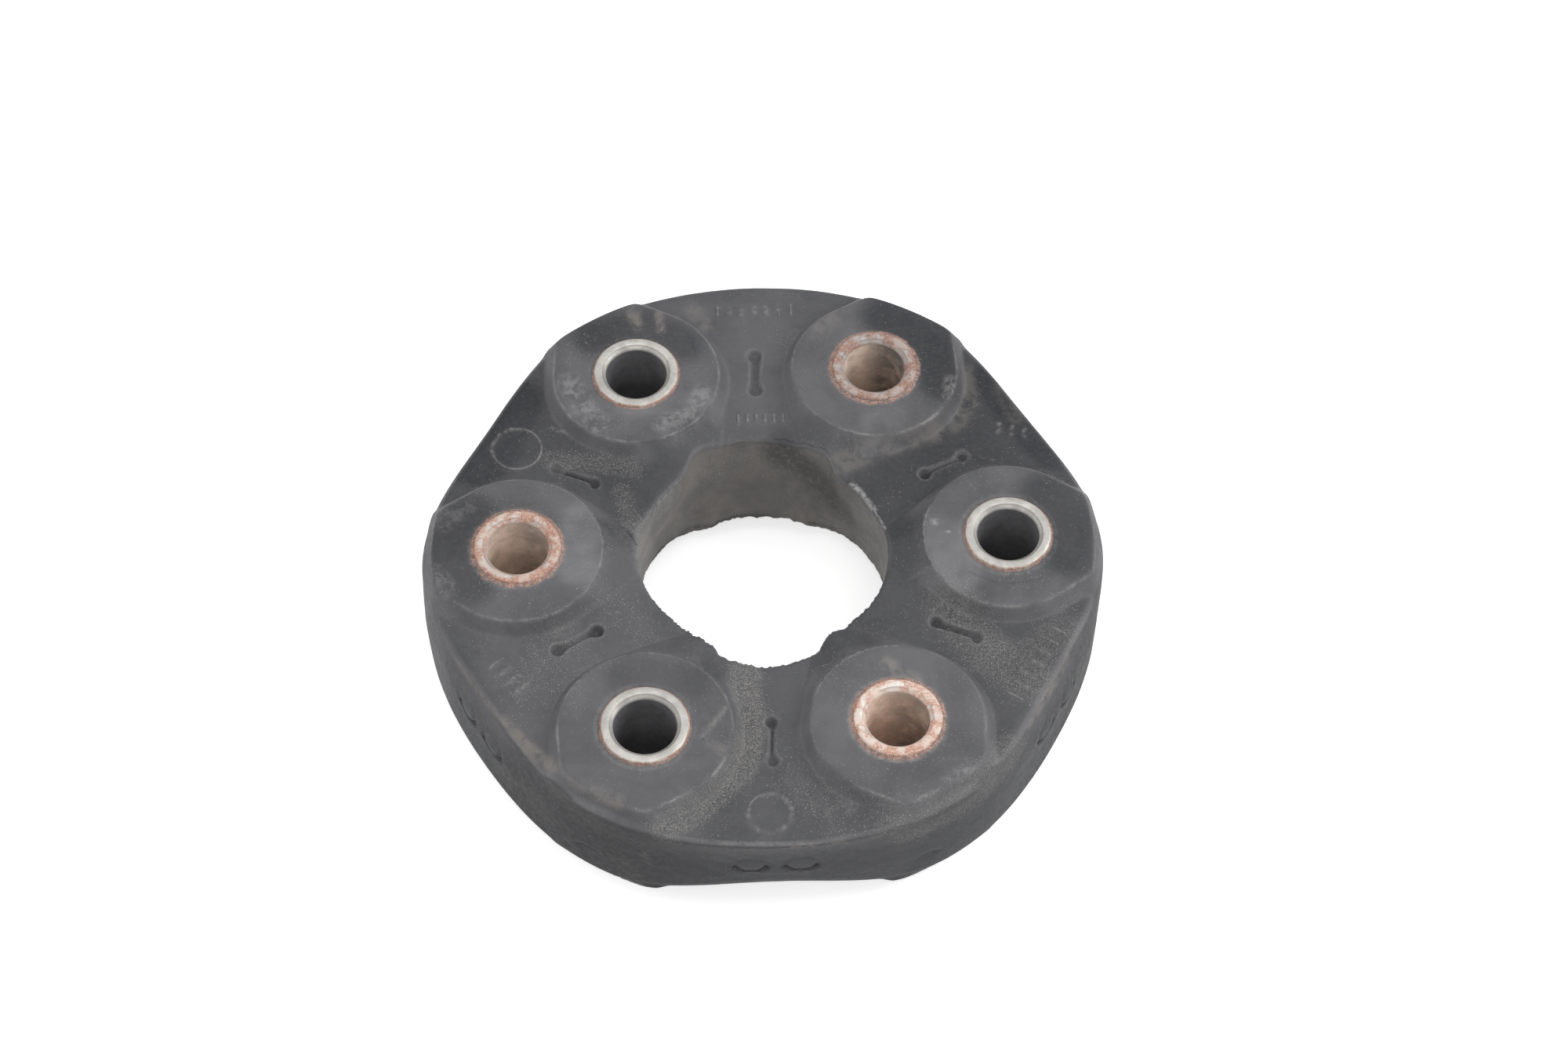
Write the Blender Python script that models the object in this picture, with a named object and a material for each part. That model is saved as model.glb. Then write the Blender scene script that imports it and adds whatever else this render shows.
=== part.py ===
"""Flexible propshaft coupling: a moulded rubber disc that holds steel bolt sleeves and the cord loops that
tie neighbouring sleeves together.

Lengths are in metres. +Z is the axis that both shafts share. The origin is on that axis, in the plane of
the sleeves' lower ends, which the coupling rests on. Sleeve 1 is at +X, and the others follow anticlockwise.
"""

import math

import bmesh
import bpy

# Sleeves. Half of them bolt to the driving flange and half to the driven one, in turn.
SLEEVE_PAIRS = 3
BOLT_CIRCLE_RADIUS = 0.048
BORE_RADIUS = 0.0061
SLEEVE_RADIUS = 0.0085
SLEEVE_STAND_OUT = 0.0008
MOUTH_CHAMFER_WIDTH = 0.00065
MOUTH_CHAMFER_DEPTH = 0.0008
RIM_CHAMFER = 0.0003

# Rubber body, between its two pad faces. The reaches are those of its side wall at mid height.
PAD_TO_PAD = 0.030
VALLEY_DEPTH = 0.0034
CORNER_REACH = 0.0670
SIDE_REACH = 0.0647

# Reach and rounding of the wall's edges: at the sleeves, in the two valleys on Y, in the four nearer to X
UPPER_EDGE = {"sleeve": (0.0669, 0.0022), "y_valley": (0.0661, 0.0015), "x_valley": (0.0630, 0.0025)}
LOWER_EDGE = {"sleeve": (0.0668, 0.0018), "y_valley": (0.0643, 0.0080), "x_valley": (0.0650, 0.0016)}

# Raised pad round each sleeve, on both faces
PAD_RADIUS = 0.0166
PAD_FACET_REACH = 0.0648
PAD_FACET_HALF_WIDTH = 0.0093
PAD_FACET_BOW = 0.0008
PAD_EDGE_ROUND = 0.0005
SKIRT_WIDTH = 0.0022
SKIRT_BEND_OUT = 0.3
SKIRT_BEND_DOWN = 0.6
RIDGE_OVERREACH = 0.0036

# Centre hole: at each face, its radius in the lobes round the Y axis, and elsewhere
UPPER_HOLE = {"lobe": 0.0266, "side": 0.0242}
LOWER_HOLE = {"lobe": 0.0240, "side": 0.0256}
LOBE_HALF_ANGLE = math.radians(27)
LOBE_SIDE_ANGLE = math.radians(9)

# Marks that the mould's pins leave: a slot in each valley, a pair of oval dimples in each side wall.
# Slots in the valleys nearer to X lean towards that axis.
SLOT_CENTRES = {"y_valley": (0.0393, 0.0480), "x_valley": (0.0372, 0.0459)}
SLOT_LEAN = {"y_valley": 0.0, "x_valley": math.radians(2)}
SLOT_END_RADIUS = 0.0014
SLOT_HALF_WIDTH = 0.0007
SLOT_DEPTH = 0.0012
DIMPLE_SPACING = 0.0096
DIMPLE_WIDTH = 0.0062
DIMPLE_HEIGHT = 0.0022
DIMPLE_DEPTH = 0.0013

# Cord loops inside the rubber, in three layers
LOOP_THICKNESS = 0.0045
MIDDLE_LOOP_HEIGHT = 0.0084
LAYER_GAP = 0.0014
LOOP_COVER = 0.0015

# Clearance between a piece and the rubber or steel round it
FIT_GAP = 0.0003

# Length by which a cutter runs past what it cuts, and depth to which a pad's foot sinks into the disc
OVERRUN = 0.002
SINK = 0.0005

# Facets, and the angle between two of them that shows as an edge
OUTLINE_STEPS = 72
HOLE_STEPS = 80
SLEEVE_STEPS = 32
PAD_ARC_STEPS = 24
LOOP_END_STEPS = 10
EDGE_STEPS = 3
SLOT_END_STEPS = 7
DIMPLE_STEPS = (12, 6)
SHARP_ANGLE = math.radians(35)

# Worked out from the sizes above
SLEEVE_COUNT = 2 * SLEEVE_PAIRS
SLEEVE_STEP = 2 * math.pi / SLEEVE_COUNT
SLEEVE_LENGTH = PAD_TO_PAD + 2 * SLEEVE_STAND_OUT
MIDDLE_Z = SLEEVE_LENGTH / 2
VALLEY_HALF = PAD_TO_PAD / 2 - VALLEY_DEPTH
SEAT_RADIUS = SLEEVE_RADIUS + FIT_GAP
HALF_SPAN = BOLT_CIRCLE_RADIUS * math.sin(SLEEVE_STEP / 2)
SPAN_RADIUS = BOLT_CIRCLE_RADIUS * math.cos(SLEEVE_STEP / 2)


def clear_scene():
    for obj in list(bpy.data.objects):
        bpy.data.objects.remove(obj, do_unlink=True)


def make_material(name, colour, roughness, metallic=0.0):
    material = bpy.data.materials.new(name)
    material.use_nodes = True
    shader = material.node_tree.nodes["Principled BSDF"]
    shader.inputs["Base Color"].default_value = (*colour, 1.0)
    shader.inputs["Roughness"].default_value = roughness
    shader.inputs["Metallic"].default_value = metallic
    return material


def polar(radius, angle, z=0.0):
    return (radius * math.cos(angle), radius * math.sin(angle), z)


def turned(point, angle):
    x, y, z = point
    cos, sin = math.cos(angle), math.sin(angle)
    return (cos * x - sin * y, sin * x + cos * y, z)


def eased(value):
    """0 to 1 with a level start and end."""
    value = min(1.0, max(0.0, value))
    return value * value * (3 - 2 * value)


def add_loft(mesh, rings):
    """Skins a stack of rings with equal counts of points, and caps both ends."""
    rows = [[mesh.verts.new(point) for point in ring] for ring in rings]
    for low, high in zip(rows, rows[1:]):
        for i in range(len(low)):
            j = (i + 1) % len(low)
            mesh.faces.new((low[i], low[j], high[j], high[i]))
    mesh.faces.new(list(reversed(rows[0])))
    mesh.faces.new(rows[-1])


def add_closed_sweep(mesh, sections):
    """Skins sections that follow one another round a closed path."""
    rows = [[mesh.verts.new(point) for point in section] for section in sections]
    for row, following in zip(rows, rows[1:] + rows[:1]):
        for i in range(len(row)):
            j = (i + 1) % len(row)
            mesh.faces.new((row[i], row[j], following[j], following[i]))


def add_prism(mesh, outline, low, high):
    add_loft(mesh, [[(x, y, z) for x, y, _ in outline] for z in (low, high)])


def make_object(name, mesh, material=None):
    """Turns the bmesh into an object with its faces pointing out, shaded smooth between sharp edges."""
    bmesh.ops.recalc_face_normals(mesh, faces=mesh.faces)
    data = bpy.data.meshes.new(name)
    mesh.to_mesh(data)
    mesh.free()
    obj = bpy.data.objects.new(name, data)
    bpy.context.scene.collection.objects.link(obj)
    if material:
        data.materials.append(material)
        shade_round(data)
    return obj


def shade_round(data):
    data.shade_smooth()
    data.set_sharp_from_angle(angle=SHARP_ANGLE)


def add_boolean(obj, operation, mesh):
    """Joins or cuts obj with the shape in mesh, which becomes a hidden helper object."""
    helper = make_object(f"{operation.lower()}_helper", mesh)
    helper.hide_render = True
    helper.display_type = "WIRE"
    modifier = obj.modifiers.new(operation.title(), "BOOLEAN")
    modifier.operation = operation
    modifier.object = helper


def apply_modifiers(obj, material):
    """Keeps the result of the modifiers as the object's mesh, and removes the helpers that they used."""
    helpers = [modifier.object for modifier in obj.modifiers]
    graph = bpy.context.evaluated_depsgraph_get()
    data = bpy.data.meshes.new_from_object(obj.evaluated_get(graph))
    obj.modifiers.clear()
    obj.data = data
    data.materials.clear()
    data.materials.append(material)
    shade_round(data)
    for helper in helpers:
        bpy.data.objects.remove(helper, do_unlink=True)


def valley_kind(angle):
    return "y_valley" if abs(math.sin(angle)) > math.sin(SLEEVE_STEP) else "x_valley"


def swing(at_sleeve, in_valley, angle):
    """Goes from one value at the sleeves to another midway between them."""
    return at_sleeve + (in_valley - at_sleeve) * (1 - math.cos(SLEEVE_COUNT * angle)) / 2


def side_radius(angle):
    return swing(CORNER_REACH, SIDE_REACH, angle)


def edge_ring(edge, side, turn):
    """One level of the wall's rounded edge. turn is 0 at the face, a quarter turn where the wall begins."""
    ring = []
    for i in range(OUTLINE_STEPS):
        angle = 2 * math.pi * i / OUTLINE_STEPS
        in_valley = edge[valley_kind(angle)]
        reach = swing(edge["sleeve"][0], in_valley[0], angle)
        rounding = swing(edge["sleeve"][1], in_valley[1], angle)
        height = VALLEY_HALF - rounding * (1 - math.cos(turn))
        ring.append(polar(reach - rounding * (1 - math.sin(turn)), angle, MIDDLE_Z + side * height))
    return ring


def add_body(mesh):
    """The disc between the valley floors."""
    turns = [math.pi / 2 * i / EDGE_STEPS for i in range(EDGE_STEPS + 1)]
    angles = [2 * math.pi * i / OUTLINE_STEPS for i in range(OUTLINE_STEPS)]
    rings = [edge_ring(LOWER_EDGE, -1, turn) for turn in turns]
    rings.append([polar(side_radius(angle), angle, MIDDLE_Z) for angle in angles])
    rings += [edge_ring(UPPER_EDGE, 1, turn) for turn in reversed(turns)]
    add_loft(mesh, rings)


def pad_ring(height, grow, tip_radius, facet_reach, angle):
    """One level of a pad, as an arc round the sleeve, straight sides and a bowed outer facet.

    Towards the shaft's axis the arc runs out into a ridge, with its tip at tip_radius.
    """
    arc = PAD_RADIUS + grow
    half_width = PAD_FACET_HALF_WIDTH + max(0.0, grow)
    corner = facet_reach - PAD_FACET_BOW - BOLT_CIRCLE_RADIUS
    start = math.atan2(half_width, corner) + math.acos(min(1.0, arc / math.hypot(corner, half_width)))
    spread = math.acos(min(1.0, arc / (BOLT_CIRCLE_RADIUS - tip_radius)))
    points = []
    for i in range(PAD_ARC_STEPS + 1):
        turn = start + (2 * math.pi - 2 * start) * i / PAD_ARC_STEPS
        reach = arc / math.cos(max(0.0, spread - abs(turn - math.pi)))
        x, y, _ = polar(reach, turn)
        points.append((BOLT_CIRCLE_RADIUS + x, y, height))
    for part in (-1, -1 / 3, 1 / 3, 1):
        bow = PAD_FACET_BOW * (1 - part * part)
        points.append((BOLT_CIRCLE_RADIUS + corner + bow, half_width * part, height))
    return [turned(point, angle) for point in points]


def add_pad(mesh, angle, side, edge_round):
    """A pad on the upper (side 1) or lower (side -1) face, whose root is sunk into the disc.

    Each level has its height, how far it grows past the pad's outline, how much of the ridge it has, and
    how far out its facet lies. The ridge would end inside the centre hole, which cuts it off.
    """
    face = PAD_TO_PAD / 2
    inner_edge = BOLT_CIRCLE_RADIUS - PAD_RADIUS
    ridge_length = inner_edge - UPPER_HOLE["side"] + RIDGE_OVERREACH
    bend = face - SKIRT_BEND_DOWN * VALLEY_DEPTH
    foot = VALLEY_HALF - SINK
    root = foot - edge_round
    facet_foot = PAD_FACET_REACH + SKIRT_WIDTH / 2
    facet_bend = (PAD_FACET_REACH + facet_foot) / 2
    levels = [
        (face, -PAD_EDGE_ROUND, 0.0, PAD_FACET_REACH - PAD_EDGE_ROUND),
        (face - PAD_EDGE_ROUND, 0.0, 0.0, PAD_FACET_REACH),
        (bend, SKIRT_BEND_OUT * SKIRT_WIDTH, SKIRT_BEND_DOWN, facet_bend),
        (foot, SKIRT_WIDTH, 1.0, facet_foot),
        (root, SKIRT_WIDTH / 2, 0.5, facet_foot - SINK),
        (root - OVERRUN, -OVERRUN, 0.0, PAD_FACET_REACH - OVERRUN),
    ]
    rings = []
    for height, grow, ridge, reach in levels:
        tip = inner_edge - grow - ridge_length * ridge
        rings.append(pad_ring(MIDDLE_Z + side * height, grow, tip, reach, angle))
    add_loft(mesh, rings)


def hole_ring(radii, z):
    ring = []
    for i in range(HOLE_STEPS):
        angle = 2 * math.pi * i / HOLE_STEPS
        from_y_axis = math.acos(abs(math.sin(angle)))
        lobe = eased((LOBE_HALF_ANGLE + LOBE_SIDE_ANGLE / 2 - from_y_axis) / LOBE_SIDE_ANGLE)
        ring.append(polar(radii["side"] + (radii["lobe"] - radii["side"]) * lobe, angle, z))
    return ring


def add_hole(mesh):
    """The centre hole, whose wall changes from its lower outline to its upper one between the two faces."""
    add_loft(mesh, [
        hole_ring(LOWER_HOLE, -OVERRUN),
        hole_ring(LOWER_HOLE, MIDDLE_Z - VALLEY_HALF),
        hole_ring(UPPER_HOLE, MIDDLE_Z + VALLEY_HALF),
        hole_ring(UPPER_HOLE, SLEEVE_LENGTH + OVERRUN),
    ])


def slot_outline(valley):
    """A narrow groove along a radius, with a round hole at each end. valley is the angle of its valley."""
    kind = valley_kind(valley)
    inner, outer = SLOT_CENTRES[kind]
    angle = valley - math.copysign(SLOT_LEAN[kind], math.sin(2 * valley))
    meet = math.asin(SLOT_HALF_WIDTH / SLOT_END_RADIUS)
    outline = []
    for centre, facing in ((outer, 0.0), (inner, math.pi)):
        for i in range(SLOT_END_STEPS + 1):
            turn = facing - math.pi + meet + (2 * math.pi - 2 * meet) * i / SLOT_END_STEPS
            x, y, _ = polar(SLOT_END_RADIUS, turn)
            outline.append(turned((centre + x, y, 0.0), angle))
    return outline


def add_dimple(mesh, angle, side):
    """A flattened ball, centred on the side wall at mid height."""
    around, along = DIMPLE_STEPS
    made = bmesh.ops.create_uvsphere(mesh, u_segments=around, v_segments=along, radius=1.0)
    offset = side * DIMPLE_SPACING / 2
    reach = side_radius(angle)
    depth = (reach * reach - offset * offset) ** 0.5
    for vert in made["verts"]:
        x, y, z = vert.co
        point = (depth + x * DIMPLE_DEPTH, offset + y * DIMPLE_WIDTH / 2, MIDDLE_Z + z * DIMPLE_HEIGHT / 2)
        vert.co = turned(point, angle)


def add_loop(mesh, pair, half_height, height, clearance):
    """A racetrack band round two neighbouring sleeves. pair is the angle halfway between them."""
    inner = SEAT_RADIUS - clearance
    outer = SEAT_RADIUS + LOOP_THICKNESS + clearance
    low = MIDDLE_Z + height - half_height - clearance
    high = MIDDLE_Z + height + half_height + clearance
    sections = []
    for end in (1, -1):
        for i in range(LOOP_END_STEPS + 1):
            turn = math.pi * (i / LOOP_END_STEPS - 0.5) + (0.0 if end == 1 else math.pi)
            section = []
            for reach, z in ((inner, low), (outer, low), (outer, high), (inner, high)):
                along, across, _ = polar(reach, turn)
                section.append(turned((SPAN_RADIUS + across, -end * HALF_SPAN - along, z), pair))
            sections.append(section)
    add_closed_sweep(mesh, sections)


def loop_layout():
    """Name, pair angle, half height and height over the middle of every cord loop."""
    outer_height = VALLEY_HALF - LOOP_COVER - LAYER_GAP - MIDDLE_LOOP_HEIGHT / 2
    outer_level = VALLEY_HALF - LOOP_COVER - outer_height / 2
    layout = []
    for i in range(SLEEVE_PAIRS):
        middle_pair = SLEEVE_STEP * (2 * i + 0.5)
        outer_pair = SLEEVE_STEP * (2 * i + 1.5)
        layout.append((f"cord_loop_middle_{i + 1}", middle_pair, MIDDLE_LOOP_HEIGHT / 2, 0.0))
        layout.append((f"cord_loop_upper_{i + 1}", outer_pair, outer_height / 2, outer_level))
        layout.append((f"cord_loop_lower_{i + 1}", outer_pair, outer_height / 2, -outer_level))
    return layout


def make_rubber_disc(material):
    body = bmesh.new()
    add_body(body)
    disc = make_object("rubber_disc", body, material)

    pads = bmesh.new()
    for i in range(SLEEVE_COUNT):
        add_pad(pads, SLEEVE_STEP * i, 1, UPPER_EDGE["sleeve"][1])
        add_pad(pads, SLEEVE_STEP * i, -1, LOWER_EDGE["sleeve"][1])
    add_boolean(disc, "UNION", pads)

    openings = bmesh.new()
    add_hole(openings)
    for i in range(SLEEVE_COUNT):
        centre = polar(BOLT_CIRCLE_RADIUS, SLEEVE_STEP * i)
        seat = [polar(SEAT_RADIUS, 2 * math.pi * k / SLEEVE_STEPS) for k in range(SLEEVE_STEPS)]
        outline = [(centre[0] + x, centre[1] + y, 0.0) for x, y, _ in seat]
        add_prism(openings, outline, -OVERRUN, SLEEVE_LENGTH + OVERRUN)
    add_boolean(disc, "DIFFERENCE", openings)

    marks = bmesh.new()
    for i in range(SLEEVE_COUNT):
        angle = SLEEVE_STEP * (i + 0.5)
        for side in (1, -1):
            floor = MIDDLE_Z + side * (VALLEY_HALF - SLOT_DEPTH)
            mouth = MIDDLE_Z + side * (VALLEY_HALF + OVERRUN)
            add_prism(marks, slot_outline(angle), min(floor, mouth), max(floor, mouth))
            add_dimple(marks, angle, side)
    add_boolean(disc, "DIFFERENCE", marks)

    tunnels = bmesh.new()
    for _, pair, half_height, height in loop_layout():
        add_loop(tunnels, pair, half_height, height, FIT_GAP)
    add_boolean(disc, "DIFFERENCE", tunnels)
    apply_modifiers(disc, material)


def make_sleeve(name, angle, material):
    """A steel tube with chamfered mouths and rims, turned about its own axis and set on the bolt circle."""
    mouth = BORE_RADIUS + MOUTH_CHAMFER_WIDTH
    profile = [
        (BORE_RADIUS, MOUTH_CHAMFER_DEPTH),
        (mouth, 0.0),
        (SLEEVE_RADIUS - RIM_CHAMFER, 0.0),
        (SLEEVE_RADIUS, RIM_CHAMFER),
        (SLEEVE_RADIUS, SLEEVE_LENGTH - RIM_CHAMFER),
        (SLEEVE_RADIUS - RIM_CHAMFER, SLEEVE_LENGTH),
        (mouth, SLEEVE_LENGTH),
        (BORE_RADIUS, SLEEVE_LENGTH - MOUTH_CHAMFER_DEPTH),
    ]
    mesh = bmesh.new()
    turns = [2 * math.pi * k / SLEEVE_STEPS for k in range(SLEEVE_STEPS)]
    add_closed_sweep(mesh, [[polar(radius, turn, z) for radius, z in profile] for turn in turns])
    sleeve = make_object(name, mesh, material)
    sleeve.location = polar(BOLT_CIRCLE_RADIUS, angle)


def make_cord_loop(name, pair, half_height, height, material):
    mesh = bmesh.new()
    add_loop(mesh, pair, half_height, height, 0.0)
    make_object(name, mesh, material)


def main():
    clear_scene()
    rubber = make_material("rubber", (0.075, 0.078, 0.085), 0.6)
    bright_steel = make_material("bright_steel", (0.58, 0.57, 0.55), 0.35, 1.0)
    rusty_steel = make_material("rusty_steel", (0.45, 0.26, 0.18), 0.75, 0.5)
    cord = make_material("cord", (0.32, 0.27, 0.19), 0.85)

    make_rubber_disc(rubber)
    for i in range(SLEEVE_COUNT):
        steel = rusty_steel if i % 2 else bright_steel
        make_sleeve(f"steel_sleeve_{i + 1}", SLEEVE_STEP * i, steel)
    for name, pair, half_height, height in loop_layout():
        make_cord_loop(name, pair, half_height, height, cord)


main()
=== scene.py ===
"""The looks of the flexible coupling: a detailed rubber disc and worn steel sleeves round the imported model.

Lengths in this script are in millimetres until a mesh is made. Angles go anticlockwise from +X.
"""

import math

import bpy
import numpy as np
from mathutils import Matrix, Vector, geometry


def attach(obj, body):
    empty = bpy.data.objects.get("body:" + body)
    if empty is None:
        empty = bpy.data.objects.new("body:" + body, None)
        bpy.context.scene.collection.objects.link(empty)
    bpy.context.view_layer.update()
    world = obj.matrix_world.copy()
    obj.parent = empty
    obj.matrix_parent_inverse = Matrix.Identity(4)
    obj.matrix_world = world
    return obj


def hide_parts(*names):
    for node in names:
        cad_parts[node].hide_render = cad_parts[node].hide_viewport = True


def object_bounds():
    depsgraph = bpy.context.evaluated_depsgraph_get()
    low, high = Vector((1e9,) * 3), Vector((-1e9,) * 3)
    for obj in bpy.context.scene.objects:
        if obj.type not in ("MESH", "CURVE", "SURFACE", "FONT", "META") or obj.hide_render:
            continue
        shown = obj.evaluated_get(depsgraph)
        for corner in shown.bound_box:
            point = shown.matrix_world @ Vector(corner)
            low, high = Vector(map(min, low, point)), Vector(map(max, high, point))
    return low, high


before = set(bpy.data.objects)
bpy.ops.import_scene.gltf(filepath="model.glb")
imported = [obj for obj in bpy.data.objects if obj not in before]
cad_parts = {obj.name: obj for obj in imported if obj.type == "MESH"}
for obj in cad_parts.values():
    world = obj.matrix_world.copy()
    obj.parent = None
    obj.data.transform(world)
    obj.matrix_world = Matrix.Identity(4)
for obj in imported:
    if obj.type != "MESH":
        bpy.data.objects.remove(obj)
cad_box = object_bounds()

MM = 0.001
STEP = math.pi / 3
SLEEVE_ANGLES = [STEP * i for i in range(6)]
VALLEY_ANGLES = [STEP * (i + 0.5) for i in range(6)]

# Sizes that the CAD model has
BOLT_R = 48.0
SLEEVE_R = 8.5
BORE_R = 6.1
SLEEVE_LENGTH = 31.6
MID_Z = 15.8
PAD_H = 15.0
FLOOR_H = 11.6
PAD_R = 16.6
FACET_CORNER = 16.0
FACET_HALF = 9.3
FACET_BOW = 0.8
CORNER_REACH = 67.0
SIDE_REACH = 64.7
# Reach and rounding of the wall's edges: at the sleeves, in the valleys on Y, in the other valleys
EDGES = {1: ((66.9, 2.2), (66.1, 1.5), (63.0, 2.5)), -1: ((66.8, 1.8), (64.3, 8.0), (65.0, 1.6))}
# Radius of the centre hole at the lower face: in the lobes towards Y, and elsewhere. The lobes end between two
# angles from Y, in degrees.
LOWER_HOLE = (24.0, 25.6)
LOBE_END = (31.5, 22.5)

# Finer form
SEAT_R = 8.52
SKIRT = 2.0
RIDGE_TIP = 29.5
PAD_EDGE_SOFTNESS = 0.35
FILLET = 0.55
CORNER_SOFTNESS = 0.8
SLOT_SOFTNESS = 0.5
# How much the floor, the outer wall and the hole's wall sway and ripple
FLOOR_WAVES = (0.07, 0.025)
WALL_WAVES = (0.10, 0.03)
HOLE_WAVES = (0.14, 0.06)
# Points on each closed line of the rubber's mesh
RIM_POINTS = 720
HOLE_POINTS = 800
SEAT_POINTS = 96


def waves(seed, wavelength, count=14):
    """A smooth random function of points in space, about -1 to 1, with features of about this size."""
    rng = np.random.default_rng(seed)
    direction = rng.normal(size=(count, 3))
    direction /= np.linalg.norm(direction, axis=1)[:, None]
    rate = direction * (2 * math.pi / wavelength) * rng.uniform(0.6, 1.6, count)[:, None]
    phase = rng.uniform(0, 2 * math.pi, count)
    return lambda points: np.sin(points @ rate.T + phase).sum(1) / math.sqrt(count)


def ragged(seed, count, angles, spread=1.0):
    """Random heights 0 to 1 at count places round the axis, joined by straight lines."""
    rng = np.random.default_rng(seed)
    heights = rng.uniform(0, 1, count) ** spread
    places = np.arange(count + 1) / count * 2 * math.pi
    return np.interp(angles % (2 * math.pi), places, np.append(heights, heights[0]))


def smooth_step(value, low, high):
    t = np.clip((value - low) / (high - low), 0, 1)
    return t * t * (3 - 2 * t)


def bell(value, width):
    """1 where value is 0, and near 0 beyond twice the width."""
    return np.exp(-((value / width) ** 2))


def soft_min(a, b, softness):
    return (a + b - np.sqrt((a - b) ** 2 + softness ** 2)) / 2


def soft_ramp(value, softness):
    """The value where it is above 0, and near 0 below, with a rounded bend between."""
    return (value + np.sqrt(value ** 2 + softness ** 2)) / 2


def polar(radius, angle):
    return radius * np.cos(angle), radius * np.sin(angle)


def full_turn(count):
    """This many angles, evenly round the circle."""
    return np.arange(count) / count * 2 * math.pi


def edge(angle, side):
    """Reach and rounding of the wall's edge at the upper (1) or lower (-1) face."""
    sleeve, y_valley, x_valley = EDGES[side]
    on_y = np.abs(np.sin(angle)) > math.sin(STEP)
    share = (1 - np.cos(6 * angle)) / 2
    return [s + (np.where(on_y, y, x) - s) * share for s, y, x in zip(sleeve, y_valley, x_valley)]


def rim_radius(angle, side):
    """Where the face's mesh meets the wall's."""
    reach, rounding = edge(angle, side)
    return reach - 0.12 * rounding


# The worn upper outline of the centre hole, as degrees and radius, and the spread that shows its finest form
UPPER_HOLE = [
    (0, 24.8), (10, 24.1), (20, 23.5), (32, 23.2), (46, 23.0), (50, 23.4), (53, 24.2), (57, 25.1), (65, 25.7),
    (80, 26.5), (92, 27.0), (105, 27.0), (116, 26.6), (121, 25.8), (126, 24.4), (131, 23.8), (141, 23.5),
    (150, 23.6), (158, 24.3), (165, 24.8), (180, 24.7), (195, 24.5), (206, 24.2), (216, 23.9), (235, 24.3),
    (240, 24.6), (244, 25.3), (248, 26.1), (253, 26.5), (270, 27.0), (280, 26.5), (290, 26.4), (293, 26.0),
    (296, 25.0), (299, 24.5), (304, 24.2), (312, 23.9), (322, 24.1), (335, 24.4), (360, 24.8)]
FINE_SPREAD = 1.5
# Middle and half width of a crease down the hole's wall, in degrees
CREASE = (50, 14)


def upper_outline(angle, spread):
    """The upper outline's radius, averaged over spread degrees each way."""
    shifts = np.linspace(-spread, spread, 9)
    return sum(np.interp((np.degrees(angle) + shift) % 360, *zip(*UPPER_HOLE)) for shift in shifts) / len(shifts)


def lower_outline(angle):
    lobe, elsewhere = LOWER_HOLE
    from_y = np.arccos(np.abs(np.sin(angle)))
    return elsewhere + (lobe - elsewhere) * smooth_step(-from_y, *(-math.radians(end) for end in LOBE_END))


def hole_radius(angle, side):
    """The centre hole's ragged edge at the upper (1) or lower (-1) face. Teeth and crumbs are coarsest towards -Y in
    the upper face and towards +Y in the lower one."""
    if side == 1:
        near = smooth_step(-np.sin(angle), 0.2, 0.8)
        teeth = (0.1 + 0.6 * near) * ragged(3, 100, angle, 4.0)
        crumbs = (0.1 + 0.36 * near) * ragged(4, 330, angle, 1.5)
        return upper_outline(angle, FINE_SPREAD) + 0.1 - teeth - crumbs
    far = np.clip(np.sin(angle), 0, 1) ** 4
    teeth = (0.12 + 0.5 * far) * ragged(5, 110, angle, 4.0)
    crumbs = (0.12 + 0.26 * far) * ragged(6, 330, angle)
    return lower_outline(angle) - 0.05 - teeth + crumbs


def rounded_side(angle):
    """1 along the part of the centre hole's upper edge that is worn round, 0 well away from it."""
    return smooth_step(-np.abs(np.degrees(angle) % 360 - 160), -50, -20)


def pad_reach(phi, grow, tip):
    """Distance from a sleeve's axis to its pad's outline, made wider by grow. phi is 0 straight outward, and the
    outline runs out to a ridge at distance tip on the opposite side."""
    arc, half, corner = PAD_R + grow, FACET_HALF + grow, FACET_CORNER + 0.55 * grow
    lean = math.atan2(half, corner)
    tangent = lean + math.acos(arc / math.hypot(corner, half))
    phi = np.abs((phi + math.pi) % (2 * math.pi) - math.pi)
    forward = np.minimum(phi, 1.3)
    across = corner * np.tan(forward) / half
    facet = (corner + FACET_BOW * np.maximum(1 - across ** 2, -0.3)) / np.cos(forward)
    side = arc / np.cos(np.clip(tangent - phi, 0, 1.2))
    front = soft_min(facet, side, CORNER_SOFTNESS)
    ridge = arc / np.cos(np.maximum(0, math.acos(arc / tip) - (math.pi - phi)))
    return np.where(phi < math.pi / 2, front, ridge)


def pad_place(x, y):
    """Distance and direction of each point from the nearest sleeve's axis."""
    angle, radius = np.arctan2(y, x), np.hypot(x, y)
    turn = angle - np.round(angle / STEP) * STEP
    u, v = radius * np.cos(turn) - BOLT_R, radius * np.sin(turn)
    return np.hypot(u, v), np.arctan2(v, u)


# Dents that the mould's pins left in the valleys of the upper face. Each slot has its angle, half its groove's width,
# how far the groove runs askew, and the radius of its ends.
SLOT_DEPTH = 1.15
SLOT_RIM = 0.04
SLOTS = list(zip(VALLEY_ANGLES, (0.45, 0.9, 0.5, 0.6, 0.45, 0.75), (0.3, 0.35, -0.4, -0.2, 0.3, -0.45),
                 (1.25, 1.4, 1.1, 1.3, 1.15, 1.15)))
# How deep each slot is at its inner end, in its groove and at its outer end, next to SLOT_DEPTH
DEPTHS = [(0.9, 0.5, 0.6), (0.5, 0.45, 0.6), (0.8, 0.9, 0.35), (1.0, 0.4, 0.7), (0.8, 0.65, 0.5), (0.95, 0.85, 0.65)]
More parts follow.
